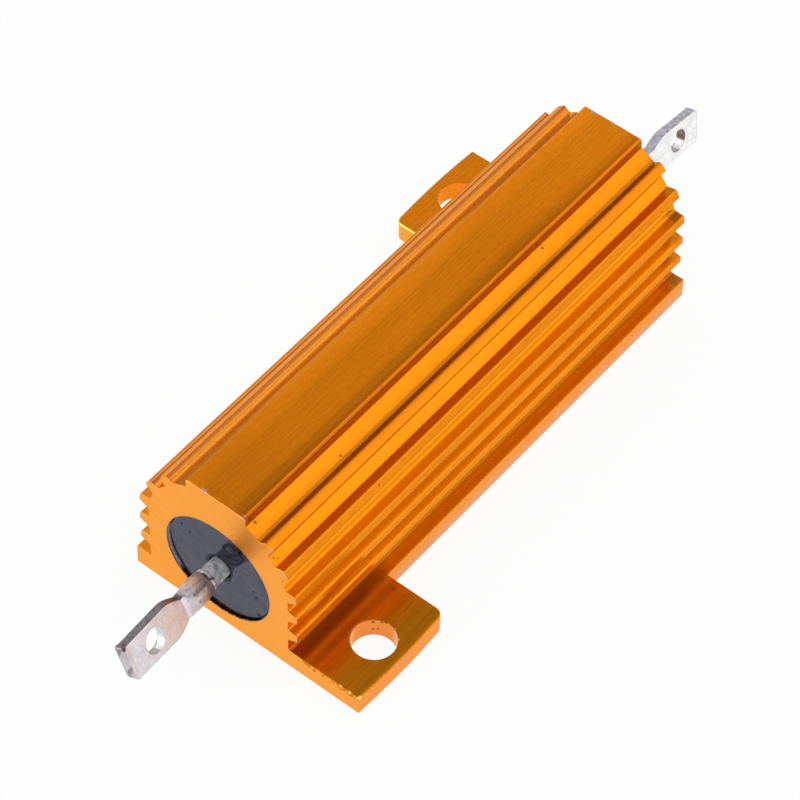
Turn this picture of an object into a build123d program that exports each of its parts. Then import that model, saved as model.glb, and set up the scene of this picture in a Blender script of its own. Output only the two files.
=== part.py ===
from build123d import *
from math import cos, degrees, radians, sin
import os

# Aluminium housed wirewound resistor, in millimetres.
# X runs along the resistor, Y across it and Z up from the mounting face.
# The origin is the centre of the mounting face, half way between the two sawn ends.

# Housing, an extrusion with a finned crown over straight walls
housing_length = 50.0
housing_height = 15.5
wall_half_width = 7.05
shoulder_step = 0.25
land_width = 5.96
land_step = 0.3
land_edge_radius = 0.25
bore_radius = 5.23
bore_height = 6.44

# Cooling fins, spaced evenly along each flank from the crown down to the foot. They all
# lean in alike on top, and their undersides slope more the lower they stand.
fin_count = 5
fin_height = 0.92
fin_root_width = 1.35
fin_top_lean = 0.22
top_fin_angle = 48.6
top_fin_tip_width = 0.87
lowest_fin_gap = 2.08
fin_tip_step = 0.05
fin_edge_radius = 0.12
fin_root_radius = 0.16

# Foot flange, sheared back to a strip except for one mounting tab at each end
flange_thickness = 2.0
flange_fillet_radius = 0.35
flange_edge_radius = 0.12
strip_ledge = 1.47
tab_span = 28.66
tab_bulge = 0.17
tab_length = 10.5
tab_corner_radius = 0.8

# Mounting holes, one in each tab, and the metal left between a hole and the tab's edges
hole_radius = 1.88
hole_end_gap = 3.1
hole_side_gap = 0.87

# Terminals, round pins forged flat and pierced outside the housing
pin_radius = 0.93
pin_edge_radius = 0.12
neck_radius = 1.17
neck_pinch = 0.18
neck_length = 2.1
seam_radius = 0.26
seam_angle = 27.0
flare_length = 1.16
blade_width = 3.34
blade_root_width = 2.0
blade_shoulder_length = 1.3
blade_shoulder_radius = 2.5
blade_thickness = 0.88
tip_width = 3.2
tip_thickness = 1.04
tip_swell_length = 0.5
tip_top_radius = 0.12
tip_bottom_radius = 0.35
eye_radius = 1.06
eye_from_root = 3.7
eye_drop = 0.05

# How each terminal stands: how far its round pin comes out of the housing, how far the
# root of its blade strays from the bore's axis sideways and upwards, how long the blade
# is, and how it swings, rises and leans, in degrees
left_pin_reach = 1.2
left_stray = (-0.14, -0.17)
left_blade_length = 6.76
left_swing = -3.4
left_rise = 3.2
left_lean = 25.2
right_pin_reach = 2.52
right_stray = (-0.28, -0.1)
right_blade_length = 6.42
right_swing = 0.7
right_rise = -8.9
right_lean = 11.5

# End plugs
plug_thickness = 2.2
plug_recess = 0.28
plug_edge_radius = 0.12
plug_clearance = 0.07
plug_hole_clearance = 0.18

# Resistance element: ceramic core, pressed end caps and a ribbon wound between them
core_radius = 2.6
core_depth = 8.0
core_edge_radius = 0.3
cap_wall = 0.45
cap_length = 5.0
cap_edge_radius = 0.35
cap_clearance = 0.02
ribbon_width = 1.0
ribbon_thickness = 0.3
ribbon_clearance = 0.02
winding_turns = 12.5

# Moulding compound that fills the bore round the element
compound_clearance = 0.03
compound_pin_clearance = 0.02

# Places worked out from the sizes above
end_x = housing_length / 2
shoulder_radius = wall_half_width + shoulder_step
crown_height = housing_height - land_step - shoulder_radius
top_fin_travel = radians(top_fin_angle) * wall_half_width
lowest_fin_travel = flange_thickness + lowest_fin_gap - crown_height
fin_pitch = (top_fin_travel - lowest_fin_travel) / (fin_count - 1)
strip_width = 2 * (wall_half_width + strip_ledge)
hole_x = end_x - hole_end_gap - hole_radius
hole_y = tab_span / 2 - hole_side_gap - hole_radius
core_length = housing_length - 2 * core_depth
plug_face_x = end_x - plug_recess
plug_back_x = plug_face_x - plug_thickness
cap_inner_radius = core_radius + cap_clearance
cap_radius = cap_inner_radius + cap_wall
cap_face_x = core_length / 2 + cap_clearance + cap_wall
cap_mouth_x = cap_face_x - cap_length
winding_radius = core_radius + ribbon_clearance + ribbon_thickness / 2
winding_span = 2 * cap_mouth_x - ribbon_width


def cross_plane(x, facing=1):
    """Cross-section plane at x, centred on the bore, looking along +X or -X."""
    return Plane(origin=(x, 0, bore_height), x_dir=(0, 1, 0), z_dir=(facing, 0, 0))


# Housing


def fin_profile(tip_width):
    """One fin standing up from a root line on the X axis, its upper side towards -X."""
    tip_top = fin_top_lean - fin_root_width / 2
    tip_bottom = tip_top + tip_width
    sunk = fin_root_width / 4
    top_spread = fin_top_lean * sunk / fin_height
    bottom_spread = (fin_root_width / 2 - tip_bottom) * sunk / fin_height
    with BuildSketch() as fin:
        with BuildLine():
            Polyline(
                (-fin_root_width / 2 - top_spread, -sunk),
                (tip_top, fin_height),
                (tip_bottom, fin_height),
                (fin_root_width / 2 + bottom_spread, -sunk),
                close=True,
            )
        make_face()
        fillet(fin.vertices().group_by(Axis.Y)[-1], fin_edge_radius)
    return fin.sketch


def fin_place(index):
    """Root point and turn of a fin: round the crown first, then down the wall."""
    travel = top_fin_travel - index * fin_pitch
    if travel <= 0:
        return Location((wall_half_width, crown_height + travel, 0), (0, 0, -90))
    angle = travel / wall_half_width
    root_y = wall_half_width * cos(angle)
    root_z = crown_height + wall_half_width * sin(angle)
    return Location((root_y, root_z, 0), (0, 0, degrees(angle) - 90))


def is_fin_root(corner):
    """True where a fin's flank or the land's side meets the metal that carries it."""
    above_crown = corner.Y - crown_height
    if corner.Y <= flange_thickness or abs(above_crown) < fin_root_radius:
        return False
    depth = Vector(corner.X, max(above_crown, 0)).length
    return depth < shoulder_radius + fin_root_radius


fins = [fin_profile(top_fin_tip_width - i * fin_tip_step) for i in range(fin_count)]
top_fin_y = fin_place(0).position.X

with BuildSketch(Plane.YZ.offset(-end_x)) as housing_section:
    with Locations((0, crown_height)):
        Circle(shoulder_radius)
        Rectangle(2 * top_fin_y, 4 * shoulder_radius, mode=Mode.INTERSECT)
        Circle(wall_half_width)
    Rectangle(2 * wall_half_width, crown_height, align=(Align.CENTER, Align.MIN))
    Rectangle(land_width, housing_height, align=(Align.CENTER, Align.MIN))
    Rectangle(tab_span, flange_thickness, align=(Align.CENTER, Align.MIN))
    for index, fin in enumerate(fins):
        with Locations(fin_place(index)):
            add(fin)
    mirror(about=Plane.YZ)
    fillet(housing_section.vertices().filter_by(is_fin_root), fin_root_radius)
    for side in (-1, 1):
        land_corner = (side * land_width / 2, housing_height)
        nearest = housing_section.vertices().sort_by_distance(land_corner)[0]
        fillet(nearest, land_edge_radius)
        flange_root = (side * wall_half_width, flange_thickness)
        nearest = housing_section.vertices().sort_by_distance(flange_root)[0]
        fillet(nearest, flange_fillet_radius)
    with Locations((0, bore_height)):
        Circle(bore_radius, mode=Mode.SUBTRACT)

# Outline left when the flange is sheared, seen from above. Each tab's outer edge bulges a
# little, since its hole is punched close to it.
with BuildSketch() as housing_outline:
    Rectangle(housing_length, strip_width)
    inner_x = end_x - tab_length
    edge_y = tab_span / 2 - tab_bulge
    for side in (-1, 1):
        with BuildLine():
            bulged_edge = ThreePointArc(
                (side * end_x, side * edge_y),
                (side * (end_x + inner_x) / 2, side * tab_span / 2),
                (side * inner_x, side * edge_y),
            )
            Polyline(bulged_edge @ 1, (side * inner_x, 0), (side * end_x, 0), bulged_edge @ 0)
        make_face()
        inner_corner = housing_outline.vertices().sort_by_distance((side * inner_x, side * edge_y))
        fillet(inner_corner[0], tab_corner_radius)

with BuildPart() as housing:
    extrude(housing_section.sketch, amount=housing_length)
    extrude(housing_outline.sketch, amount=housing_height, mode=Mode.INTERSECT)
    for side in (-1, 1):
        tab_faces = housing.faces().filter_by(GeomType.CYLINDER).group_by(Axis.Y)
        bulged_face = tab_faces[0 if side < 0 else -1].sort_by(SortBy.AREA)[-1]
        fillet(bulged_face.edges().filter_by(GeomType.CIRCLE), flange_edge_radius)
    with BuildSketch():
        with Locations((-hole_x, -hole_y), (hole_x, hole_y)):
            Circle(hole_radius)
    extrude(amount=flange_thickness, mode=Mode.SUBTRACT)
housing.part.label = "housing"


# Resistance element and the compound round it

with BuildPart() as ceramic_core:
    with BuildSketch(cross_plane(-core_length / 2)):
        Circle(core_radius)
    extrude(amount=core_length)
    fillet(ceramic_core.edges().filter_by(GeomType.CIRCLE), core_edge_radius)
ceramic_core.part.label = "ceramic_core"

with BuildPart() as resistance_winding:
    with BuildLine() as winding_path:
        Helix(
            pitch=winding_span / winding_turns,
            height=winding_span,
            radius=winding_radius,
            center=(-winding_span / 2, 0, bore_height),
            direction=(1, 0, 0),
        )
    start = winding_path.line @ 0
    outward = start - Vector(start.X, 0, bore_height)
    with BuildSketch(Plane(start, x_dir=outward, z_dir=winding_path.line % 0)):
        Rectangle(ribbon_thickness, ribbon_width)
    sweep(path=winding_path.line, is_frenet=True)
resistance_winding.part.label = "resistance_winding"

with BuildPart() as moulding_compound:
    with BuildSketch(cross_plane(-plug_back_x)):
        Circle(bore_radius - compound_clearance)
        Circle(pin_radius + compound_pin_clearance, mode=Mode.SUBTRACT)
    extrude(amount=2 * plug_back_x)
    cavity_x = cap_face_x + compound_clearance
    with BuildSketch(cross_plane(-cavity_x)):
        Circle(cap_radius + compound_clearance)
    extrude(amount=2 * cavity_x, mode=Mode.SUBTRACT)
moulding_compound.part.label = "moulding_compound"


# Pieces made once for each end


def make_end_cap(side):
    """Pressed cup over one end of the core, closed towards the terminal."""
    with BuildPart() as cap:
        with BuildSketch(cross_plane(side * cap_mouth_x, side)):
            Circle(cap_radius)
        extrude(amount=cap_length)
        closed_rim = cap.edges().filter_by(GeomType.CIRCLE).sort_by(Axis.X)
        fillet(closed_rim[-1 if side > 0 else 0], cap_edge_radius)
        with BuildSketch(cross_plane(side * cap_mouth_x, side)):
            Circle(cap_inner_radius)
        extrude(amount=cap_length - cap_wall, mode=Mode.SUBTRACT)
    return cap.part


def make_end_plug(side):
    """Moulded disc that closes the bore round the terminal's pin."""
    with BuildPart() as plug:
        with BuildSketch(cross_plane(side * plug_back_x, side)):
            Circle(bore_radius - plug_clearance)
        extrude(amount=plug_thickness)
        rims = plug.edges().filter_by(GeomType.CIRCLE).sort_by(Axis.X)
        fillet(rims[-1 if side > 0 else 0], plug_edge_radius)
        with BuildSketch(cross_plane(side * plug_back_x, side)):
            Circle(pin_radius + plug_hole_clearance)
        extrude(amount=plug_thickness, mode=Mode.SUBTRACT)
    return plug.part


def make_blade(root, along, up, blade_length):
    """Flat blade with a swollen sheared tip: its face outline cut by its edge outline."""
    face = along.cross(up)
    with BuildPart() as blade:
        with BuildSketch(Plane(root, x_dir=along, z_dir=face)) as outline:
            Polygon(
                (0, -blade_root_width / 2),
                (blade_shoulder_length, -blade_width / 2),
                (blade_length, -tip_width / 2),
                (blade_length, tip_width / 2),
                (blade_shoulder_length, blade_width / 2),
                (0, blade_root_width / 2),
                align=None,
            )
            fillet(outline.vertices().group_by(Axis.X)[1], blade_shoulder_radius)
            fillet(outline.vertices().group_by(Axis.X)[-1].sort_by(Axis.Y)[0], tip_bottom_radius)
            fillet(outline.vertices().group_by(Axis.X)[-1].sort_by(Axis.Y)[-1], tip_top_radius)
            with Locations((eye_from_root, -eye_drop)):
                Circle(eye_radius, mode=Mode.SUBTRACT)
        extrude(amount=tip_thickness, both=True)
        with BuildSketch(Plane(root, x_dir=along, z_dir=up)):
            swell_x = blade_length - tip_swell_length
            Polygon(
                (0, -blade_thickness / 2),
                (swell_x, -blade_thickness / 2),
                (blade_length, -tip_thickness / 2),
                (blade_length, tip_thickness / 2),
                (swell_x, blade_thickness / 2),
                (0, blade_thickness / 2),
                align=None,
            )
        extrude(amount=blade_width, both=True, mode=Mode.INTERSECT)
    return blade.part


def make_terminal(side, pin_reach, stray, blade_length, swing, rise, lean):
    """Round pin welded to its cap, with a seamed neck that flares into a pierced blade."""
    shoulder = Vector(side * (end_x + pin_reach), 0, bore_height)
    root = shoulder + Vector(side * (neck_length + flare_length), *stray)
    along = Vector(
        side * cos(radians(swing)) * cos(radians(rise)),
        sin(radians(swing)) * cos(radians(rise)),
        sin(radians(rise)),
    )
    face = along.cross(Vector(0, sin(radians(lean)), cos(radians(lean)))).normalized()
    up = face.cross(along)
    neck = (root - shoulder) * (neck_length / (neck_length + flare_length))
    seam = Vector(0, -sin(radians(seam_angle)), cos(radians(seam_angle)))

    with BuildPart() as terminal:
        with BuildSketch(cross_plane(side * cap_face_x, side)):
            Circle(pin_radius)
        extrude(amount=shoulder.X * side - cap_face_x)
        shoulder_rim = terminal.edges().sort_by_distance(shoulder + seam * pin_radius)[0]
        fillet(shoulder_rim, pin_edge_radius)
        for share, pinch in ((0, neck_pinch), (0.5, 0), (1, 0)):
            with BuildSketch(Plane(shoulder + neck * share, x_dir=up, z_dir=(side, 0, 0))):
                Circle(neck_radius - pinch)
        loft()
        with BuildSketch(Plane(shoulder + neck, x_dir=up, z_dir=(side, 0, 0))):
            Circle(neck_radius)
        with BuildSketch(Plane(root, x_dir=up, z_dir=along)):
            Rectangle(blade_root_width, blade_thickness)
        loft(ruled=True)
        with BuildSketch(Plane(shoulder + seam * neck_radius, z_dir=neck)):
            Circle(seam_radius)
        extrude(amount=neck.length + flare_length / 2, taper=3, mode=Mode.SUBTRACT)
        add(make_blade(root, along, up, blade_length))
    return terminal.part


left_end_cap = make_end_cap(-1)
left_end_cap.label = "left_end_cap"
right_end_cap = make_end_cap(1)
right_end_cap.label = "right_end_cap"
left_end_plug = make_end_plug(-1)
left_end_plug.label = "left_end_plug"
right_end_plug = make_end_plug(1)
right_end_plug.label = "right_end_plug"
left_terminal = make_terminal(
    -1, left_pin_reach, left_stray, left_blade_length, left_swing, left_rise, left_lean
)
left_terminal.label = "left_terminal"
right_terminal = make_terminal(
    1, right_pin_reach, right_stray, right_blade_length, right_swing, right_rise, right_lean
)
right_terminal.label = "right_terminal"

os.makedirs("parts", exist_ok=True)
export_step(housing.part, "parts/housing.step")
export_step(ceramic_core.part, "parts/ceramic_core.step")
export_step(resistance_winding.part, "parts/resistance_winding.step")
export_step(moulding_compound.part, "parts/moulding_compound.step")
export_step(left_end_cap, "parts/left_end_cap.step")
export_step(right_end_cap, "parts/right_end_cap.step")
export_step(left_end_plug, "parts/left_end_plug.step")
export_step(right_end_plug, "parts/right_end_plug.step")
export_step(left_terminal, "parts/left_terminal.step")
export_step(right_terminal, "parts/right_terminal.step")
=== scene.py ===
import math
from types import SimpleNamespace

import bpy
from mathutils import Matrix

# Aluminium housed wirewound resistor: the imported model's solids with their real surfaces.
# Metres throughout, in the model's frame: X along the resistor, Z up from the mounting face.
# Places and radii inside the materials are in millimetres.

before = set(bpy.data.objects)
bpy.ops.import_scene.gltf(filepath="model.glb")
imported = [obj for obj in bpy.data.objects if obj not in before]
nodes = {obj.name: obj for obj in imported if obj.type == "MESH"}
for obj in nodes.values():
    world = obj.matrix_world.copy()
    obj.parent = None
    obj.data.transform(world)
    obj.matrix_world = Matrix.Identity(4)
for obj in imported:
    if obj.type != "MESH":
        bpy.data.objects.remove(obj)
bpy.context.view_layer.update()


# Camera

LENS = 161.35
CAMERA_PLACE = (-0.144083, -0.108696, 0.232145)
CAMERA_TURN = (38.2188, -1.0704, -51.1155)


def make_camera():
    """The camera at the photograph's viewing angle."""
    data = bpy.data.cameras.new("camera")
    data.lens = LENS
    data.sensor_width = 36.0
    data.clip_start = 0.01
    data.clip_end = 10.0
    camera = bpy.data.objects.new("camera", data)
    bpy.context.scene.collection.objects.link(camera)
    camera.location = CAMERA_PLACE
    camera.rotation_euler = [math.radians(angle) for angle in CAMERA_TURN]
    bpy.context.scene.camera = camera


# Shader building

# Depths of the fine relief and radii of the rounded edges, in metres.
HOUSING_RELIEF = 0.000012
RELIEF = 0.00002
HOUSING_EDGE = 0.0002
TERMINAL_EDGE = 0.00018

# How far off a wall still hides the sky from a recess, in metres.
SKY_REACH = 0.004


class Graph:
    """A material's or world's node tree, built as expressions."""

    def __init__(self, tree):
        self.tree = tree
        tree.nodes.clear()

    def add(self, kind, inputs=None, output=0, **settings):
        """Adds a node, fills its inputs by name or number and returns one of its outputs."""
        node = self.tree.nodes.new(kind)
        for key, value in settings.items():
            setattr(node, key, value)
        for key, value in (inputs or {}).items():
            self.feed(node.inputs[key], value)
        return node.outputs[output] if node.outputs else node

    def feed(self, socket, value):
        """Links another node's output to the socket, or sets a plain value."""
        if isinstance(value, bpy.types.NodeSocket):
            self.tree.links.new(value, socket)
        elif socket.type == "RGBA":
            socket.default_value = (*value, 1.0)
        else:
            socket.default_value = value

    def math(self, operation, a, b=0.0, clamp=False):
        return self.add("ShaderNodeMath", {0: a, 1: b}, operation=operation, use_clamp=clamp)

    def plus(self, *values):
        result = values[0]
        for value in values[1:]:
            result = self.math("ADD", result, value)
        return result

    def minus(self, a, b, clamp=False):
        return self.math("SUBTRACT", a, b, clamp)

    def both(self, *masks):
        """Product of the masks."""
        result = masks[0]
        for mask in masks[1:]:
            result = self.math("MULTIPLY", result, mask)
        return result

    def either(self, *masks):
        """The strongest of the masks."""
        result = masks[0]
        for mask in masks[1:]:
            result = self.math("MAXIMUM", result, mask)
        return result

    def rise(self, value, low, high, start=0.0, end=1.0):
        """Smooth change from start to end as the value goes from low to high."""
        values = {0: value, 1: low, 2: high, 3: start, 4: end}
        return self.add("ShaderNodeMapRange", values, interpolation_type="SMOOTHSTEP")

    def fall(self, value, low, high):
        """Mask that ends as the value goes from low to high."""
        return self.rise(value, low, high, 1.0, 0.0)

    def band(self, value, low, high, soft=0.05):
        """Mask of the values between low and high."""
        begins = self.rise(value, low - soft, low + soft)
        return self.both(begins, self.fall(value, high - soft, high + soft))

    def sway(self, value, amount):
        """Swing round zero from a noise value, in proportion to the amount."""
        return self.both(self.minus(value, 0.5), amount)

    def hypotenuse(self, a, b):
        return self.math("SQRT", self.plus(self.both(a, a), self.both(b, b)))

    def mix(self, share, a, b, blend="MIX"):
        values = {0: share, 6: a, 7: b}
        return self.add("ShaderNodeMix", values, output=2, data_type="RGBA", blend_type=blend)

    def tint(self, share, colour, factor):
        """The colour, times the factor in the mask's share."""
        return self.mix(share, colour, factor, "MULTIPLY")

    def grey(self, value):
        return self.add("ShaderNodeCombineColor", {0: value, 1: value, 2: value})

    def scaled(self, vector, scale):
        return self.add("ShaderNodeVectorMath", {0: vector, 1: scale}, operation="MULTIPLY")

    def split(self, vector):
        """The vector's x, y and z."""
        node = self.add("ShaderNodeSeparateXYZ", {0: vector}).node
        return node.outputs[0], node.outputs[1], node.outputs[2]

    def noise(self, vector, scale, detail, rough, distort=0.0):
        """Noise between 0 and 1. Three scales stretch it along the axes."""
        if isinstance(scale, tuple):
            vector, scale = self.scaled(vector, scale), 1.0
        values = {"Vector": vector, "Scale": scale, "Detail": detail}
        values.update({"Roughness": rough, "Distortion": distort})
        return self.add("ShaderNodeTexNoise", values)

    def distance(self, vector, place):
        values = {0: vector, 1: place}
        return self.add("ShaderNodeVectorMath", values, output=1, operation="DISTANCE")

    def spots(self, vector, places):
        """Mask of small round marks, each given by its place and the radius where it ends."""
        marks = [
            self.fall(self.distance(vector, place), 0.4 * radius, radius)
            for place, radius in places
        ]
        return self.either(*marks)

    def rounded(self, radius):
        """Normal with the edges rounded, the radius in metres."""
        return self.add("ShaderNodeBevel", {"Radius": radius}, samples=4)

    def bump(self, height, distance, normal=None):
        values = {"Strength": 1.0, "Distance": distance, "Height": height}
        if normal is not None:
            values["Normal"] = normal
        return self.add("ShaderNodeBump", values)

    def surface(self, **inputs):
        """Ends a material in one surface shader, given its socket values."""
        names = {
            "base": "Base Color", "metal": "Metallic", "rough": "Roughness",
            "normal": "Normal", "tangent": "Tangent", "ior": "IOR",
            "anisotropy": "Anisotropic", "tint": "Specular Tint",
        }
        values = {names[key]: value for key, value in inputs.items()}
        shader = self.add("ShaderNodeBsdfPrincipled", values)
        self.add("ShaderNodeOutputMaterial", {"Surface": shader})


def in_mm(g):
    """Where the shaded point lies on the piece, in millimetres."""
    return g.scaled(g.add("ShaderNodeTexCoord", output="Object"), (1000.0, 1000.0, 1000.0))


class Place:
    """Where the shaded point lies, in millimetres, and how its surface faces."""

    def __init__(self, g):
        self.mm = in_mm(g)
        self.x, self.y, self.z = g.split(self.mm)
        self.abs_x = g.math("ABSOLUTE", self.x)
        self.abs_y = g.math("ABSOLUTE", self.y)
        normal = g.split(g.add("ShaderNodeTexCoord", output="Normal"))
        self.normal_y = normal[1]
        self.facing_x, self.facing_y, self.facing_z = [g.math("ABSOLUTE", n) for n in normal]


def new_material(name):
    material = bpy.data.materials.new(name)
    material.use_nodes = True
    return material, Graph(material.node_tree)


# Housing

SAWN_END = 25.0
LAND_TOP = 15.5
LAND_HALF = 2.98
FOOT_TOP = 2.0
# The sheared strip's outer face, and where the tabs begin along the strip.
STRIP_HALF = 8.52
TAB_START = 14.5
BORE_HEIGHT = 6.44
BORE_RADIUS = 5.23
TAB_HOLE_X = 20.02
TAB_HOLE_Y = 11.58
TAB_HOLE_RADIUS = 1.88

# Middle of the saw's blade in the plane of the cut: the arcs of its marks turn round it.
SAW_Y = 46.0
SAW_Z = -70.0

# Colours of the drawn metal: its anodised gold, and tones of painted light, shade and reflection.
GOLD_DARK = (0.82, 0.229, 0.002)
GOLD_LIGHT = (0.88, 0.249, 0.003)
GOLD_SHADED = (0.38, 0.108, 0.0)
GOLD_SHEEN = (1.0, 0.8, 0.45)
RECESS_LEVEL_REFLECTION = (0.83, 0.42, 0.0)
RECESS_UPRIGHT_REFLECTION = (0.82, 0.34, 0.0)
RECESS_END_LIGHT = (0.85, 0.27, 0.005)
ABOVE_FIN_REFLECTION = (0.93, 0.43, 0.01)
GROOVE_BOTTOM_LIGHT = (1.0, 0.42, 0.01)
NEAR_LEDGE_END_LIGHT = (0.86, 0.31, 0.01)
FAR_LEDGE_END_LIGHT = (1.0, 0.32, 0.01)

# Factors that tint the gold, from place to place. All but TAB_TINT are painted light and shade.
LEDGE_LIGHT_TINT = (0.86, 0.93, 1.0)
FAR_END_SHADOW_TINT = (0.6, 0.5, 0.8)
FOOT_CORNER_SHADE_TINT = (0.68, 0.36, 0.5)
LAND_EDGE_DARK_REFLECTION = (0.66, 0.55, 0.8)
BESIDE_EDGE_DARK_REFLECTION = (0.88, 0.78, 1.0)
FLANK_SHEEN_TINT = (1.06, 0.98, 1.0)
GROOVE_LIGHTENED_TINT = (1.05, 1.4, 0.5)
TAB_TINT = (1.0, 1.15, 1.0)
TAB_BY_WALL_SHADE_TINT = (0.77, 0.52, 1.0)

# Colours of the cuts, holes and marks, and of painted glints and painted light.
SAWN_DARK = (1.0, 0.366, 0.07)
SAWN_LIGHT = (1.0, 0.4, 0.09)
SHEARED = (0.95, 0.29, 0.06)
SHEARED_TAB_SIDE = (0.97, 0.4, 0.05)
GLINT = (1.0, 0.85, 0.12)
TORN = (0.9, 0.4, 0.17)
NICKED = (0.56, 0.37, 0.31)
DIRT = (0.25, 0.08, 0.01)
PITTED = (0.2, 0.07, 0.01)
BURR_GLINT_COLOUR = (1.0, 0.62, 0.16)
BLACK = (0.01, 0.01, 0.01)
RESIN_ON_WALL = (0.5, 0.51, 0.6)
FAR_HOLE_INNER = (0.85, 0.33, 0.12)
FAR_HOLE_OUTER = (1.0, 0.27, 0.005)
NEAR_HOLE_SIDES_LIGHT = (0.9, 0.5, 0.42)

# Pits and nicks: place and radius.
PITS = (
    ((11.29, -3.27, 14.43), 0.2),
    ((22.44, -3.64, 14.23), 0.085),
    ((-14.93, -3.94, 14.04), 0.17),
    ((-24.15, -3.2, 14.45), 0.22),
    ((-24.65, -5.42, 12.4), 0.13),
    ((-24.38, -5.6, 12.22), 0.13),
    ((-13.92, -6.94, 11.82), 0.14),
    ((-15.29, -9.73, 2.0), 0.24),
    ((-18.61, -10.33, 1.71), 0.22),
    ((-18.25, -10.94, 1.85), 0.2),
    ((-18.6, -10.34, 0.75), 0.16),
    ((-18.38, -10.66, 0.8), 0.14),
    ((-18.17, -11.27, 1.95), 0.15),
)

# Places where the saw tore the tips of the teeth, bare and pale.
TORN_TIPS = (
    ((-25.0, -5.1, 14.3), 0.2),
    ((-25.0, -5.45, 13.6), 0.3),
    ((-25.0, -5.35, 12.8), 0.17),
    ((-25.0, -6.8, 11.5), 0.25),
    ((-25.0, -6.6, 10.4), 0.15),
    ((-25.0, -7.6, 9.2), 0.22),
    ((-25.0, -7.85, 6.9), 0.2),
)

# Bright spots on the near tab, its outer corner and the far side of its hole: bare burrs with
# painted glints.
BURR_GLINTS = (
    ((-24.9, -14.15, 1.95), 0.3),
    ((-25.0, -13.2, 1.9), 0.22),
    ((-25.0, -12.3, 1.95), 0.16),
    ((-18.78, -13.02, 2.0), 0.16),
    ((-18.2, -12.2, 2.0), 0.12),
)


def housing_zones(g, at):
    """Masks of the kinds of surface, and how much of the sky each place sees."""
    sawn = g.both(
        g.rise(at.facing_x, 0.85, 0.98),
        g.rise(at.abs_x, SAWN_END - 0.2, SAWN_END - 0.05),
    )
    not_sawn = g.minus(1.0, sawn)
    upright = g.fall(at.facing_z, 0.35, 0.75)
    flange = g.fall(at.z, FOOT_TOP - 0.02, FOOT_TOP + 0.04)
    outside = g.rise(at.abs_y, STRIP_HALF - 0.14, STRIP_HALF - 0.06)
    sheared = g.both(flange, upright, outside, not_sawn)
    tear = g.noise(at.mm, (1.1, 1.1, 0.0), 3.0, 0.6)
    tear_height = g.rise(tear, 0.3, 0.7, 0.5, 1.35)
    below_tear = g.fall(g.minus(at.z, tear_height), -0.15, 0.15)
    on_strip = g.fall(at.abs_y, STRIP_HALF + 0.18, STRIP_HALF + 0.28)
    from_axis = g.hypotenuse(at.y, g.minus(at.z, BORE_HEIGHT))
    in_bore = g.fall(from_axis, BORE_RADIUS + 0.03, BORE_RADIUS + 0.09)
    open_sky = g.add("ShaderNodeAmbientOcclusion", {"Distance": SKY_REACH}, output=1, samples=8)
    return SimpleNamespace(
        sawn=sawn,
        not_sawn=not_sawn,
        upright=upright,
        flange=flange,
        sheared=sheared,
        tear=tear,
        torn=g.both(sheared, below_tear, on_strip),
        drawn=g.minus(not_sawn, sheared, clamp=True),
        nicked=g.rise(g.noise(at.mm, 1.3, 3.0, 0.6), 0.56, 0.62),
        land=g.rise(at.z, LAND_TOP - 0.2, LAND_TOP - 0.05),
        bore=g.both(in_bore, g.fall(at.facing_x, 0.3, 0.5)),
        open_sky=open_sky,
        # Recesses, where the drawn metal gets painted reflection tones.
        recess=g.fall(open_sky, 0.25, 0.85),
    )


def housing_grain(g, at):
    """Drawn lines, grain and saw arcs, as values between 0 and 1."""
    saw_radius = g.hypotenuse(g.minus(at.y, SAW_Y), g.minus(at.z, SAW_Z))
    saw_place = g.add(
        "ShaderNodeCombineXYZ", {0: saw_radius, 1: g.both(at.y, 0.03), 2: at.abs_x}
    )
    return SimpleNamespace(
        lines=g.noise(at.mm, (0.012, 5.5, 5.5), 4.0, 0.62),
        fine_lines=g.noise(at.mm, (0.06, 17.0, 17.0), 2.0, 0.5),
        streaks=g.noise(at.mm, (0.02, 1.3, 1.3), 2.0, 0.5),
        grain=g.noise(at.mm, 5.0, 3.0, 0.6),
        saw=g.noise(saw_place, 3.2, 3.0, 0.6),
    )


def drawn_gold(g, at, zones, grain):
    """The anodised colour of drawn metal, with painted reflection tones in the recesses."""
    cloud = g.noise(at.mm, (0.09, 0.25, 0.25), 2.0, 0.5)
    gold = g.mix(g.rise(cloud, 0.3, 0.7), GOLD_DARK, GOLD_LIGHT)
    mottle = g.noise(at.mm, (1.2, 4.0, 4.0), 3.0, 0.6)
    gold = g.tint(1.0, gold, g.grey(g.rise(mottle, 0.3, 0.7, 0.94, 1.06)))
    # Painted reflection: recesses get a yellower tone in place of the light they throw on each
    # other.
    recess_reflection = g.mix(zones.upright, RECESS_LEVEL_REFLECTION, RECESS_UPRIGHT_REFLECTION)
    gold = g.mix(zones.recess, gold, recess_reflection)
    return g.tint(zones.drawn, gold, g.grey(g.rise(grain.lines, 0.3, 0.7, 0.95, 1.03)))


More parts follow.
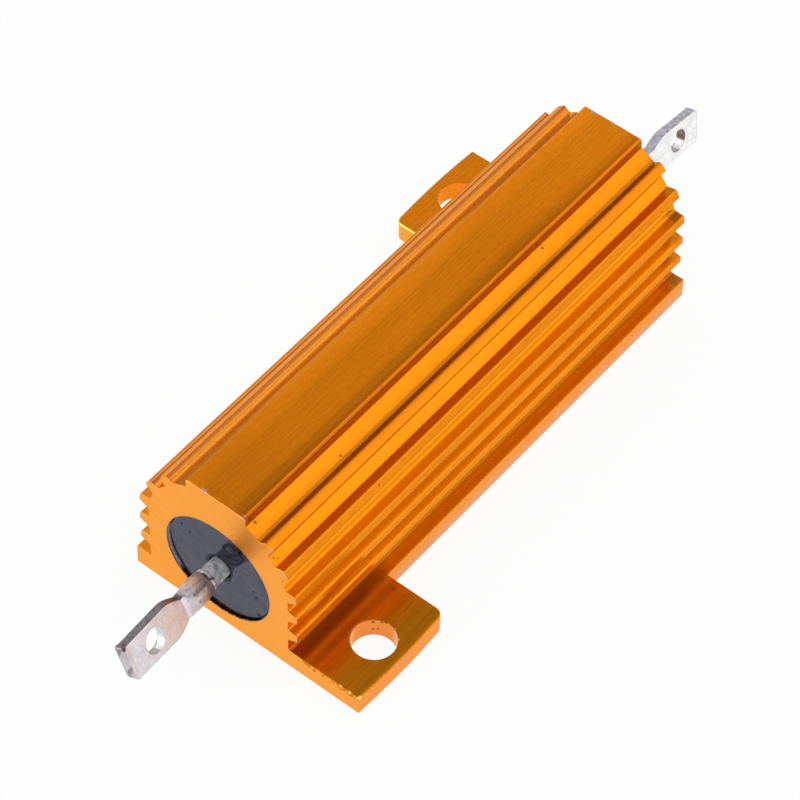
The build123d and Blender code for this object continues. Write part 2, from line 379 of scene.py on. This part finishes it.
def fin_tones(g, at, zones, gold):
    """The wall above a middle fin with a painted reflection, and painted shade on the fins' inner
    sides, beside the -Y groove and on the sides of the land.
    """
    # Painted reflection: the wall above a middle fin is yellower.
    above_fin_reflection = g.both(
        zones.upright,
        g.rise(at.z, 9.6, 9.7),
        g.fall(at.z, 10.4, 10.6),
        g.fall(at.abs_y, 7.2, 7.3),
    )
    gold = g.mix(above_fin_reflection, gold, ABOVE_FIN_REFLECTION)
    # Painted shade on the fins' inner sides, beside the -Y groove and on the sides of the land.
    # Positive where the surface faces the middle plane.
    inwards = g.both(at.normal_y, g.math("SIGN", at.y), -1.0)
    fin_inside = g.both(
        g.rise(inwards, 0.12, 0.35), g.rise(at.z, 3.0, 3.5), g.fall(at.y, -1.0, 1.0)
    )
    by_groove = g.both(
        g.rise(at.y, -5.25, -4.75),
        g.fall(at.y, -4.2, -4.0),
        g.rise(at.z, 13.4, 13.6),
        g.rise(at.facing_z, 0.4, 0.6),
    )
    shaded = g.both(g.either(fin_inside, by_groove), g.rise(at.z, 13.3, 13.5, 1.0, 0.72))
    by_land = g.fall(at.abs_y, LAND_HALF + 0.07, LAND_HALF + 0.17)
    land_side = g.both(zones.upright, by_land, g.rise(at.z, 14.0, 14.2))
    return g.mix(g.either(shaded, land_side), gold, GOLD_SHADED)


def ledge_tones(g, at, zones, gold):
    """Painted light and shade on the sheared foot's ledge, its ends, the recesses' ends and the
    foot's inner corner.
    """
    # The tab takes up the ledge at one end of each side.
    from_tab = g.both(at.x, g.math("SIGN", at.y), -1.0)
    ledge = g.both(
        g.fall(at.z, FOOT_TOP + 0.05, FOOT_TOP + 0.12),
        g.fall(at.abs_y, STRIP_HALF - 0.12, STRIP_HALF + 0.08),
        g.rise(from_tab, -TAB_START - 1.0, -TAB_START + 1.5),
    )
    # Painted light: a tint of the ledge.
    gold = g.tint(ledge, gold, LEDGE_LIGHT_TINT)
    # Painted light on the level faces of the recesses near the ends.
    level = g.minus(1.0, zones.upright)
    recess_end_light = g.both(g.rise(at.abs_x, 23.4, 24.1), zones.recess, level)
    gold = g.mix(recess_end_light, gold, RECESS_END_LIGHT)
    # Painted light at the ledge's open ends, where more light falls.
    end_tone = g.mix(g.rise(at.y, -1.0, 1.0), NEAR_LEDGE_END_LIGHT, FAR_LEDGE_END_LIGHT)
    gold = g.mix(g.both(ledge, g.rise(at.abs_x, 21.6, 23.0)), gold, end_tone)
    # Painted shadow in the corners of the recesses at the far end, on the -Y side.
    far_end_shadow = g.both(
        g.rise(at.x, 23.7, 24.2),
        g.fall(at.y, -6.6, -6.2),
        g.fall(at.z, 11.0, 12.0),
        g.fall(zones.open_sky, 0.62, 0.95),
    )
    gold = g.tint(far_end_shadow, gold, FAR_END_SHADOW_TINT)
    # Painted shade in the foot's inner corner.
    fillet = g.band(at.z, FOOT_TOP + 0.03, FOOT_TOP + 0.32, 0.02)
    foot_corner_shade = g.both(fillet, g.fall(at.abs_y, 7.3, 7.4))
    return g.tint(foot_corner_shade, gold, FOOT_CORNER_SHADE_TINT)


def land_tones(g, at, zones, gold):
    """Painted light on the land: brightness that changes along its length, and painted dark
    reflections along its near edge.
    """
    # Painted light: the land grows brighter along its length.
    along = g.both(g.rise(at.x, -26.0, -8.0, 0.84, 1.0), g.rise(at.x, 8.0, 22.0, 1.0, 1.12))
    gold = g.tint(zones.land, gold, g.grey(along))
    # Painted dark reflections along the land's near edge and just beside it.
    edge = g.both(
        g.band(at.y, -LAND_HALF - 0.01, -LAND_HALF + 0.18, 0.03),
        g.rise(at.z, LAND_TOP - 0.3, LAND_TOP - 0.2),
    )
    gold = g.tint(edge, gold, LAND_EDGE_DARK_REFLECTION)
    beside_edge_reflection = g.both(
        g.band(at.y, -LAND_HALF + 0.23, -LAND_HALF + 0.63, 0.15),
        g.rise(at.z, LAND_TOP - 0.1, LAND_TOP - 0.02),
    )
    return g.tint(beside_edge_reflection, gold, BESIDE_EDGE_DARK_REFLECTION)


def far_flank_tones(g, at, gold):
    """Painted light and shade on the +Y flank: a lighter groove bottom, dark lines, a sheen on the
    first fins, and a lighter groove up to the jog.
    """
    # Painted light: the groove's bottom is lighter and yellower.
    lit_groove_bottom = g.both(g.band(at.y, 3.95, 4.3, 0.12), g.rise(at.z, 13.5, 13.7))
    gold = g.mix(lit_groove_bottom, gold, GROOVE_BOTTOM_LIGHT)
    # Painted shade: dark lines in the groove behind the land's far edge and along two fins.
    depth = g.either(
        g.rise(at.x, -21.0, -12.0, 0.5, 0.2), g.rise(at.x, 8.0, 15.0, 0.2, 0.5)
    )
    far_flank_shade = g.either(
        g.both(g.band(at.y, 2.9, 3.75, 0.1), g.band(at.z, 13.9, 15.0, 0.1), depth),
        g.both(g.band(at.y, 4.74, 4.96, 0.06), g.rise(at.z, 13.8, 13.9), 0.47),
        g.both(g.band(at.y, 6.28, 6.54, 0.06), g.band(at.z, 11.8, 12.3), 0.6),
    )
    gold = g.mix(far_flank_shade, gold, (0.0, 0.0, 0.0))
    # Painted sheen on the first fins of the flank.
    flank_sheen = g.both(g.rise(at.y, 3.0, 3.4), g.rise(at.z, 9.0, 10.0), 0.4)
    gold = g.tint(flank_sheen, gold, FLANK_SHEEN_TINT)
    gold = g.mix(flank_sheen, gold, (0.0, 0.0, 0.06), "ADD")
    # Painted light: up to the jog in the land's far edge, the groove beside it is lighter and
    # looks nearly filled.
    groove_lightened = g.both(
        g.band(at.y, 3.0, 3.75, 0.1), g.band(at.z, 13.9, 15.2, 0.1), g.fall(at.x, 9.0, 12.0)
    )
    return g.tint(groove_lightened, gold, GROOVE_LIGHTENED_TINT)


def near_tab_tones(g, at, grain, gold):
    """The top of the near tab, with streaks, and painted shade that darkens it towards the wall
    and reddens it beside the wall.
    """
    tab = g.both(
        g.fall(at.z, FOOT_TOP + 0.05, FOOT_TOP + 0.2),
        g.fall(at.x, -TAB_START - 1.0, -TAB_START + 1.5),
        g.fall(at.y, -7.4, -7.1),
    )
    # Painted shade: darker and redder beside the wall.
    gold = g.tint(g.both(tab, g.rise(at.y, -8.8, -8.2)), gold, TAB_BY_WALL_SHADE_TINT)
    gold = g.tint(tab, gold, TAB_TINT)
    # Streaks, and painted shade that darkens the tab more towards the wall.
    streaks_and_shade = g.plus(g.rise(at.y, -11.8, -9.2, 0.68, 0.6), g.sway(grain.streaks, 0.5))
    return g.tint(tab, gold, g.grey(streaks_and_shade))


def sawn_tone(g, at, grain):
    """The sawn ends' pale metal, with the saw's arcs and a fine speckle."""
    pale = g.mix(g.rise(grain.saw, 0.3, 0.7), SAWN_DARK, SAWN_LIGHT)
    speckle = g.rise(g.noise(at.mm, 7.0, 3.0, 0.7), 0.35, 0.65, 0.96, 1.04)
    return g.tint(1.0, pale, g.grey(speckle))


def cut_tones(g, at, zones, gold, pale):
    """The sawn ends with their chipped foot, the sheared and torn flange walls, and a painted
    glint on the far tab.
    """
    chip_height = g.rise(g.noise(at.mm, 2.0, 4.0, 0.75), 0.38, 0.58, 1.4, 2.15)
    chipped = g.both(g.fall(at.y, -8.6, -8.2), g.rise(g.minus(at.z, chip_height), -0.04, 0.04))
    colour = g.mix(g.both(zones.sawn, g.minus(1.0, chipped)), gold, pale)
    colour = g.mix(zones.sheared, colour, SHEARED)
    far_tab = g.both(g.rise(at.y, STRIP_HALF - 0.12, STRIP_HALF + 0.08), zones.flange)
    tab_side = g.both(far_tab, zones.sheared, g.fall(at.x, TAB_START + 0.9, TAB_START + 1.1))
    colour = g.mix(tab_side, colour, SHEARED_TAB_SIDE)
    # A painted highlight along the far tab's rounded top edge.
    glint = g.both(
        far_tab,
        g.fall(at.x, TAB_START + 0.12, TAB_START + 0.2),
        g.rise(at.z, FOOT_TOP - 0.16, FOOT_TOP - 0.1),
    )
    colour = g.mix(glint, colour, GLINT)
    return g.mix(zones.torn, colour, TORN)


def edge_marks(g, at, zones, colour):
    """Bare nicks on the ends' fringe and the teeth, and dirt along the ends' lower edge."""
    fringe = g.either(g.rise(at.abs_y, 7.6, 7.8), g.rise(at.z, LAND_TOP - 0.3, LAND_TOP - 0.2))
    nicks = g.both(
        zones.nicked,
        fringe,
        g.rise(at.abs_x, SAWN_END - 0.3, SAWN_END - 0.15),
        g.rise(at.z, FOOT_TOP + 0.2, FOOT_TOP + 0.6),
        g.rise(at.y, 3.0, 4.0, 1.0, 0.35),
    )
    ragged = g.plus(0.5, g.both(zones.nicked, 0.5))
    nicks = g.either(nicks, g.both(g.spots(at.mm, TORN_TIPS), ragged))
    colour = g.mix(nicks, colour, NICKED)
    dirty = g.rise(g.noise(at.mm, 3.0, 4.0, 0.7), 0.64, 0.72)
    dirt = g.both(zones.sawn, dirty, g.fall(at.z, 0.9, 1.5), 0.7)
    return g.mix(dirt, colour, DIRT)


def bore_tones(g, at, zones, pale, colour):
    """The bore's wall outside the plug: smeared with resin above, a black ragged line below."""
    upper = g.rise(g.plus(at.z, g.both(zones.tear, 1.5)), 3.6, 4.3)
    mouth = g.both(g.rise(at.abs_x, SAWN_END - 0.12, SAWN_END - 0.07), 0.9)
    upper_tone = g.mix(mouth, RESIN_ON_WALL, BLACK)
    ragged = g.plus(at.abs_x, g.sway(g.noise(at.mm, 2.2, 3.0, 0.6), 0.35))
    lower_tone = g.mix(g.rise(ragged, SAWN_END - 0.12, SAWN_END - 0.08), BLACK, pale)
    return g.mix(zones.bore, colour, g.mix(upper, lower_tone, upper_tone))


def tab_hole_tones(g, at, zones, colour):
    """The walls of the two tab holes, with painted light on the near hole's sides."""
    hole_x = g.minus(at.abs_x, TAB_HOLE_X)
    hole_y = g.minus(at.abs_y, TAB_HOLE_Y)
    radius = g.hypotenuse(hole_x, hole_y)
    wall = g.both(g.fall(radius, TAB_HOLE_RADIUS + 0.07, TAB_HOLE_RADIUS + 0.12), zones.upright)
    far_tone = g.mix(g.rise(hole_x, -1.5, -1.1), FAR_HOLE_INNER, FAR_HOLE_OUTER)
    colour = g.mix(g.both(wall, g.rise(at.x, -1.0, 1.0)), colour, far_tone)
    # Painted light: seen from the camera, the near hole's left and right walls are paler.
    across = g.minus(g.both(hole_x, 0.657), g.both(hole_y, 0.754))
    lit_hole_sides = g.both(wall, g.fall(at.x, -1.0, 1.0), g.rise(g.math("ABSOLUTE", across), 1.5, 1.8))
    return g.mix(lit_hole_sides, colour, NEAR_HOLE_SIDES_LIGHT)


def housing_relief(g, at, zones, grain):
    """Fine relief of the housing, with the land's margins falling away from its middle."""
    drawn = g.both(zones.drawn, g.plus(g.both(grain.lines, 0.5), g.both(grain.fine_lines, 0.15)))
    torn = g.both(zones.torn, g.noise(at.mm, 4.0, 4.0, 0.7), 2.5)
    height = g.plus(drawn, g.both(zones.sawn, grain.saw, 0.7), g.both(grain.grain, 0.06), torn)
    margin = g.either(g.minus(at.abs_y, 1.3), 0.0)
    crown = g.rise(at.x, 5.0, 20.0, 4.2, 2.2)
    return g.minus(height, g.both(zones.land, margin, margin, crown))


def gold_anodised():
    """Gold anodised extrusion: drawn lines along it, sawn ends, sheared flange walls."""
    material, g = new_material("gold_anodised_aluminium")
    at = Place(g)
    zones = housing_zones(g, at)
    grain = housing_grain(g, at)

    gold = drawn_gold(g, at, zones, grain)
    gold = fin_tones(g, at, zones, gold)
    gold = ledge_tones(g, at, zones, gold)
    gold = land_tones(g, at, zones, gold)
    gold = far_flank_tones(g, at, gold)
    gold = near_tab_tones(g, at, grain, gold)
    pale = sawn_tone(g, at, grain)
    colour = cut_tones(g, at, zones, gold, pale)
    colour = edge_marks(g, at, zones, colour)
    colour = bore_tones(g, at, zones, pale, colour)
    colour = tab_hole_tones(g, at, zones, colour)
    colour = g.mix(g.both(g.spots(at.mm, PITS), 0.8), colour, PITTED)
    # Bright spots on the near tab: bare burrs with painted glints.
    colour = g.mix(g.spots(at.mm, BURR_GLINTS), colour, BURR_GLINT_COLOUR)

    rough = g.plus(
        0.2,
        g.sway(grain.lines, 0.08),
        g.sway(grain.grain, 0.12),
        g.both(zones.sawn, 0.1),
        g.both(zones.torn, 0.25),
    )
    height = housing_relief(g, at, zones, grain)
    metal = g.plus(0.8, g.both(zones.sawn, 0.2))
    metal = g.minus(metal, g.both(zones.bore, 0.8), clamp=True)
    along = g.add("ShaderNodeCombineXYZ", {0: zones.not_sawn, 1: zones.sawn, 2: 0.0})
    g.surface(
        base=colour,
        metal=metal,
        rough=rough,
        normal=g.bump(height, HOUSING_RELIEF, g.rounded(HOUSING_EDGE)),
        tangent=along,
        anisotropy=0.3,
        tint=GOLD_SHEEN,
    )
    return material


# End plugs

RESIN_DARK = (0.003, 0.0035, 0.008)
RESIN_LIGHT = (0.008, 0.009, 0.016)
RESIN_SHEEN = (0.45, 0.48, 1.0)
RIM_BLACK = (0.004, 0.004, 0.005)
PIN_SHADOW_BLACK = (0.002, 0.002, 0.002)
EDGE_LIGHT_GREY = (0.12, 0.12, 0.15)
SCUFFED = (0.11, 0.11, 0.12)

# Small pits in the near plug's face.
PLUG_PITS = (
    ((-24.72, 3.83, 8.85), 0.16),
    ((-24.72, 3.0, 8.44), 0.13),
    ((-24.72, -3.69, 5.64), 0.26),
    ((-24.72, -3.89, 3.53), 0.24),
    ((-24.72, -3.43, 6.2), 0.16),
)


def plug_resin():
    """Black moulded resin, scuffed round the pin, with a rough black rim, a painted shadow of the
    pin and painted light on its +Y edge.
    """
    material, g = new_material("plug_resin")
    at = Place(g)
    wave = g.noise(at.mm, 0.5, 2.0, 0.5)
    fine = g.noise(at.mm, 6.0, 3.0, 0.6)
    radius = g.hypotenuse(at.y, g.minus(at.z, BORE_HEIGHT))
    ragged = g.plus(radius, g.sway(g.noise(at.mm, 1.1, 3.0, 0.6), 0.6))
    rim = g.both(g.rise(ragged, 5.12, 5.18), g.rise(at.z, 3.0, 4.2, 0.7, 0.0))
    collar = g.fall(ragged, 1.3, 1.5)
    black = g.either(rim, collar, g.spots(at.mm, PLUG_PITS))

    above_pin = g.both(g.fall(at.y, -0.9, -0.5), g.rise(at.z, 6.6, 7.4))
    smear = g.both(
        g.rise(g.noise(at.mm, 0.8, 3.0, 0.6), 0.4, 0.5),
        g.fall(radius, 3.0, 4.4),
        g.either(above_pin, 0.12),
    )
    scuff = g.both(smear, g.rise(g.noise(at.mm, (1.0, 2.2, 4.5), 5.0, 0.7), 0.52, 0.68))
    # Painted light: the rounded edge on the +Y side is grey in place of its dark reflection.
    lit_edge = g.both(g.rise(radius, 5.02, 5.06), g.rise(at.z, 4.2, 5.5), g.rise(at.y, 0.5, 2.0))
    # A painted shadow of the near pin: a black band from the pin up to the rim.
    across_band = g.plus(g.both(at.y, 0.87), g.both(at.z, 0.49))
    pin_shadow = g.both(
        g.band(across_band, 3.1, 4.25, 0.15),
        g.rise(at.z, 7.3, 8.1),
        g.rise(at.x, -1.0, 1.0, 0.85, 0.0),
    )

    colour = g.mix(fine, RESIN_DARK, RESIN_LIGHT)
    colour = g.mix(black, colour, RIM_BLACK)
    colour = g.mix(lit_edge, colour, EDGE_LIGHT_GREY)
    colour = g.mix(pin_shadow, colour, PIN_SHADOW_BLACK)
    colour = g.mix(scuff, colour, SCUFFED)
    rough = g.plus(0.03, g.both(fine, 0.06), g.both(scuff, 0.35))
    rough = g.math("ADD", rough, g.both(black, 0.5), clamp=True)
    height = g.minus(g.plus(g.both(wave, 3.0), g.both(fine, 0.12)), g.both(black, 2.0))
    g.surface(
        base=colour,
        metal=0.0,
        rough=rough,
        normal=g.bump(height, RELIEF),
        ior=1.53,
        tint=RESIN_SHEEN,
    )
    return material


# Terminals

EYE_RADIUS = 1.06

WHITE = (1.0, 1.0, 1.0)
EYE_GREY = (0.5, 0.48, 0.5)
NEAR_EYE_END = (0.75, 0.72, 0.76)
FAR_EYE_END = (0.26, 0.19, 0.165)
NECK_PINK = (0.56, 0.475, 0.465)
COLLAR_DARK = (0.3, 0.3, 0.32)
COLLAR_LIGHT = (0.7, 0.7, 0.73)
VALLEY_SHADE_BROWN = (0.2, 0.13, 0.12)
HIGHLIGHT_BRIGHT = (1.0, 0.92, 0.88)
FOLD_SHADE_DARK = (0.05, 0.03, 0.03)
SPOT_BROWN = (0.09, 0.05, 0.035)
TIP_TINT = (0.78, 0.75, 0.74)

# The fold that forging left across the top of the near pin's neck, drawn as a dark line of painted
# shade.
FOLD = (
    ((-26.61, 0.07, 7.47), 0.2),
    ((-26.61, -0.18, 7.45), 0.22),
    ((-26.57, -0.4, 7.39), 0.24),
    ((-26.47, -0.56, 7.3), 0.22),
    ((-26.27, -0.64, 7.25), 0.18),
)

# Painted shade along the shallow valley that runs down the near neck from the fold, and two
# painted highlights on its high spots.
VALLEY = (
    ((-26.58, -0.55, 7.23), 0.2),
    ((-26.94, -0.56, 7.22), 0.2),
    ((-27.3, -0.57, 7.22), 0.2),
    ((-27.66, -0.58, 7.23), 0.2),
    ((-28.02, -0.58, 7.23), 0.2),
    ((-28.38, -0.59, 7.23), 0.2),
)
NECK_HIGHLIGHTS = (
    ((-26.49, 0.28, 7.44), 0.17),
    ((-27.33, -0.84, 7.24), 0.2),
)

# Brown spots on the near blade: its upper corner, the wall of its eye and its root.
BROWN_SPOTS = (
    ((-36.1, -0.25, 8.2), 0.28),
    ((-35.7, 0.1, 8.15), 0.2),
    ((-32.7, -0.38, 5.59), 0.2),
    ((-30.42, -0.8, 4.72), 0.13),
)


def blade_tones(g, at, mottle, patch, face, pink, edge, brown, copper):
    """The blade's faces, with the tin worn to copper near the root, and its long edges."""
    dim_face = [0.86 * value for value in face]
    tin = g.mix(g.rise(mottle, 0.35, 0.65), dim_face, face)
    worn = g.both(
        g.rise(at.abs_x, 29.4, 29.9),
        g.fall(at.abs_x, 31.6, 33.6),
        copper,
        g.rise(patch, 0.36, 0.6, 0.3, 1.0),
    )
    tin = g.mix(worn, tin, pink)
    fine = g.noise(at.mm, 6.0, 3.0, 0.6)
    tin = g.tint(1.0, tin, g.grey(g.rise(fine, 0.3, 0.7, 0.9, 1.04)))

    dim_edge = [0.6 * value for value in edge]
    edge_tone = g.mix(g.rise(g.noise(at.mm, 2.4, 4.0, 0.65), 0.35, 0.65), dim_edge, edge)
    root_tone = g.mix(g.rise(mottle, 0.4, 0.75), brown, dim_edge)
    edge_tone = g.mix(g.rise(at.abs_x, 30.0, 32.0, copper, 0.0), edge_tone, root_tone)
    on_edge = g.both(g.rise(at.facing_z, 0.62, 0.8), g.rise(at.abs_x, 28.6, 29.2))
    return g.mix(on_edge, tin, edge_tone), fine


def eye_tones(g, at, eye, copper, tin):
    """The eye's wall: grey in its -X half, then bright, with a tone of its own at its +X end."""
    from_eye = g.distance(g.scaled(at.mm, (1.0, 0.0, 1.0)), eye)
    wall = g.both(
        g.fall(from_eye, EYE_RADIUS + 0.03, EYE_RADIUS + 0.07), g.fall(at.facing_y, 0.5, 0.7)
    )
    past_middle = g.minus(at.x, eye[0])
    tone = g.mix(g.fall(past_middle, 0.0, 0.2), WHITE, EYE_GREY)
    end_tone = g.mix(copper, FAR_EYE_END, NEAR_EYE_END)
    return g.mix(wall, tin, g.mix(g.rise(past_middle, 0.78, 0.92), tone, end_tone))


def neck_tones(g, at, mottle, patch, collar, brown, copper, tin):
    """The bruised neck and the dull grey collar beside the plug."""
    neck = g.both(g.rise(at.abs_x, 26.5, 26.8), g.fall(at.abs_x, 28.9, 29.3))
    bruised = g.both(neck, g.rise(patch, 0.35, 0.6, 0.7, 1.0), copper)
    spotted = g.rise(g.noise(at.mm, 2.6, 4.0, 0.65, 0.5), 0.24, 0.5)
    tin = g.mix(bruised, tin, g.mix(spotted, brown, NECK_PINK))
    collar_tone = g.mix(g.rise(mottle, 0.35, 0.65), COLLAR_DARK, COLLAR_LIGHT)
    return g.mix(collar, tin, collar_tone)


def neck_shade_highlights_and_spots(g, at, tin):
    """The near terminal's neck: painted shade along its fold and valley, painted highlights on two
    high spots, and brown spots.
    """
    tin = g.mix(g.both(g.spots(at.mm, VALLEY), 0.55), tin, VALLEY_SHADE_BROWN)
    tin = g.mix(g.both(g.spots(at.mm, NECK_HIGHLIGHTS), 0.9), tin, HIGHLIGHT_BRIGHT)
    tin = g.mix(g.both(g.spots(at.mm, FOLD), 0.85), tin, FOLD_SHADE_DARK)
    return g.mix(g.spots(at.mm, BROWN_SPOTS), tin, SPOT_BROWN)


def tip_tones(g, at, brown, copper, tin):
    """The blade's sheared tip, stained in stripes."""
    tip = g.both(g.rise(at.facing_x, 0.7, 0.9), g.rise(at.abs_x, 35.5, 36.0))
    stripes = g.rise(g.noise(at.mm, (3.0, 3.0, 0.5), 3.0, 0.6), 0.45, 0.65)
    tin = g.mix(g.both(tip, stripes, 0.7), tin, brown)
    return g.tint(g.both(tip, copper), tin, TIP_TINT)


def tinned_metal(name, face, pink, edge, brown, copper, eye):
    """Tin over copper, dull and mottled. The copper share says how much shows through."""
    material, g = new_material(name)
    at = Place(g)
    mottle = g.noise(at.mm, 1.4, 4.0, 0.6, 0.4)
    patch = g.noise(at.mm, 0.55, 3.0, 0.55)
    collar = g.fall(at.abs_x, 26.3, 26.6)

    tin, fine = blade_tones(g, at, mottle, patch, face, pink, edge, brown, copper)
    tin = eye_tones(g, at, eye, copper, tin)
    tin = neck_tones(g, at, mottle, patch, collar, brown, copper, tin)
    tin = neck_shade_highlights_and_spots(g, at, tin)
    tin = tip_tones(g, at, brown, copper, tin)

    height = g.plus(g.both(mottle, 2.5), g.both(fine, 0.6), g.both(collar, patch, 8.0))
    g.surface(
        base=tin,
        metal=g.minus(0.8, g.both(collar, 0.6)),
        rough=g.plus(0.28, g.both(mottle, 0.2), g.both(collar, 0.3)),
        normal=g.bump(height, RELIEF, g.rounded(TERMINAL_EDGE)),
    )
    return material


# Inner pieces


def plain_stuff(name, dark, light, scale, rough, metal):
    """Hidden inner material with fine colour variation and grain."""
    material, g = new_material(name)
    mottle = g.noise(in_mm(g), scale, 4.0, 0.6)
    g.surface(
        base=g.mix(g.rise(mottle, 0.3, 0.7), dark, light),
        metal=metal,
        rough=g.plus(rough, g.sway(mottle, 0.2)),
        normal=g.bump(mottle, RELIEF),
    )
    return material


def dress(material, *names):
    """Gives the material to CAD nodes by name."""
    for name in names:
        for material_slot in nodes[name].material_slots:
            material_slot.material = material


def dress_all():
    """Gives every CAD node its material."""
    dress(gold_anodised(), "housing")
    dress(plug_resin(), "left_end_plug", "right_end_plug")
    worn_tin = tinned_metal(
        "tinned_metal_worn",
        face=(0.81, 0.79, 0.84),
        pink=(0.78, 0.69, 0.68),
        edge=(0.27, 0.245, 0.255),
        brown=(0.14, 0.1, 0.095),
        copper=1.0,
        eye=(-33.149, 0.0, 6.431),
    )
    dress(worn_tin, "left_terminal")
    bright_tin = tinned_metal(
        "tinned_metal",
        face=WHITE,
        pink=(0.9, 0.86, 0.85),
        edge=(0.62, 0.585, 0.66),
        brown=(0.25, 0.2, 0.2),
        copper=0.1,
        eye=(34.428, 0.0, 5.719),
    )
    dress(bright_tin, "right_terminal")
    ceramic = plain_stuff(
        "core_ceramic", (0.72, 0.70, 0.66), (0.82, 0.80, 0.77), scale=2.0, rough=0.6, metal=0.0
    )
    dress(ceramic, "ceramic_core")
    alloy = plain_stuff(
        "resistance_alloy", (0.42, 0.40, 0.38), (0.55, 0.53, 0.5), scale=4.0, rough=0.35, metal=1.0
    )
    dress(alloy, "resistance_winding")
    steel = plain_stuff(
        "cap_steel", (0.55, 0.54, 0.52), (0.66, 0.65, 0.63), scale=1.5, rough=0.3, metal=1.0
    )
    dress(steel, "left_end_cap", "right_end_cap")
    compound = plain_stuff(
        "compound", (0.30, 0.29, 0.27), (0.40, 0.39, 0.36), scale=3.0, rough=0.8, metal=0.0
    )
    dress(compound, "moulding_compound")


# Floor and studio

FLOOR_HALF = 1.5
FLOOR_DROP = 0.0001
FLOOR_MATT = (0.93, 0.93, 0.935)
FLOOR_WHITE_SHARE = 0.94

# Brightness of the studio by the turn about the X axis: 0 is overhead, 90 level towards -Y
# and -90 level towards +Y. A softbox along the object hangs overhead, with a dark rim, and
# white walls stand on both sides.
STUDIO = (
    (-180, 0.9), (-100, 0.85), (-80, 0.75), (-55, 0.85), (-34, 0.76), (-26, 0.63),
    (-18, 0.34), (-9, 0.34), (-2, 1.1), (8, 1.5), (39, 1.5), (43, 0.9), (49, 0.7),
    (54, 1.4), (70, 1.45), (95, 1.45), (125, 1.0), (180, 0.9),
)

# The studio is dark round this way, where the photographer stood.
DARK_WAY = (-0.491, -0.377, 0.7855)


def make_floor():
    """A matt floor that itself looks white, so only its shadows show."""
    near, far = -FLOOR_HALF, FLOOR_HALF
    mesh = bpy.data.meshes.new("floor")
    corners = [(near, near, 0), (far, near, 0), (far, far, 0), (near, far, 0)]
    mesh.from_pydata(corners, [], [(0, 1, 2, 3)])
    floor = bpy.data.objects.new("floor", mesh)
    bpy.context.scene.collection.objects.link(floor)
    floor.location.z = -FLOOR_DROP
    material, g = new_material("floor_white")
    paths = g.add("ShaderNodeLightPath").node.outputs
    seen = g.math("ADD", paths["Is Camera Ray"], paths["Is Glossy Ray"])
    seen = g.math("ADD", seen, paths["Is Transmission Ray"], clamp=True)
    matt = g.add("ShaderNodeBsdfDiffuse", {"Color": FLOOR_MATT})
    lit = g.add("ShaderNodeEmission", {"Color": WHITE, "Strength": 1.0})
    share = g.both(seen, FLOOR_WHITE_SHARE)
    shader = g.add("ShaderNodeMixShader", {0: share, 1: matt, 2: lit})
    g.add("ShaderNodeOutputMaterial", {"Surface": shader})
    mesh.materials.append(material)


def make_world():
    """The studio's light: the ramp, a window at the left back and the dark round the camera."""
    world = bpy.data.worlds.new("studio")
    bpy.context.scene.world = world
    world.use_nodes = True
    g = Graph(world.node_tree)
    way = g.add("ShaderNodeTexCoord", output="Generated")
    way_x, way_y, way_z = g.split(way)
    turn = g.math("ARCTAN2", g.both(way_y, -1.0), way_z)
    level = g.add("ShaderNodeValToRGB", {0: g.plus(g.math("DIVIDE", turn, 2 * math.pi), 0.5)})
    ramp = level.node.color_ramp
    ramp.interpolation = "LINEAR"
    while len(ramp.elements) < len(STUDIO):
        ramp.elements.new(0.5)
    for stop, (degrees, value) in zip(ramp.elements, STUDIO):
        stop.position = degrees / 360 + 0.5
        stop.color = (value / 2, value / 2, value / 2, 1)

    toward_camera = g.add(
        "ShaderNodeVectorMath", {0: way, 1: DARK_WAY}, output=1, operation="DOT_PRODUCT"
    )
    shade = g.rise(toward_camera, 0.82, 0.93, 1.0, 0.1)
    window = g.both(g.rise(way_x, -0.5, -0.2, 1.6, 0.0), g.rise(way_y, 0.0, 0.2))
    # Twice, because the ramp holds half of each brightness.
    strength = g.both(shade, g.plus(window, 1.0), 2.0)
    background = g.add("ShaderNodeBackground", {0: level, 1: strength})
    g.add("ShaderNodeOutputWorld", {0: background})


make_camera()
dress_all()
make_floor()
make_world()

bpy.context.scene.view_settings.view_transform = "Standard"
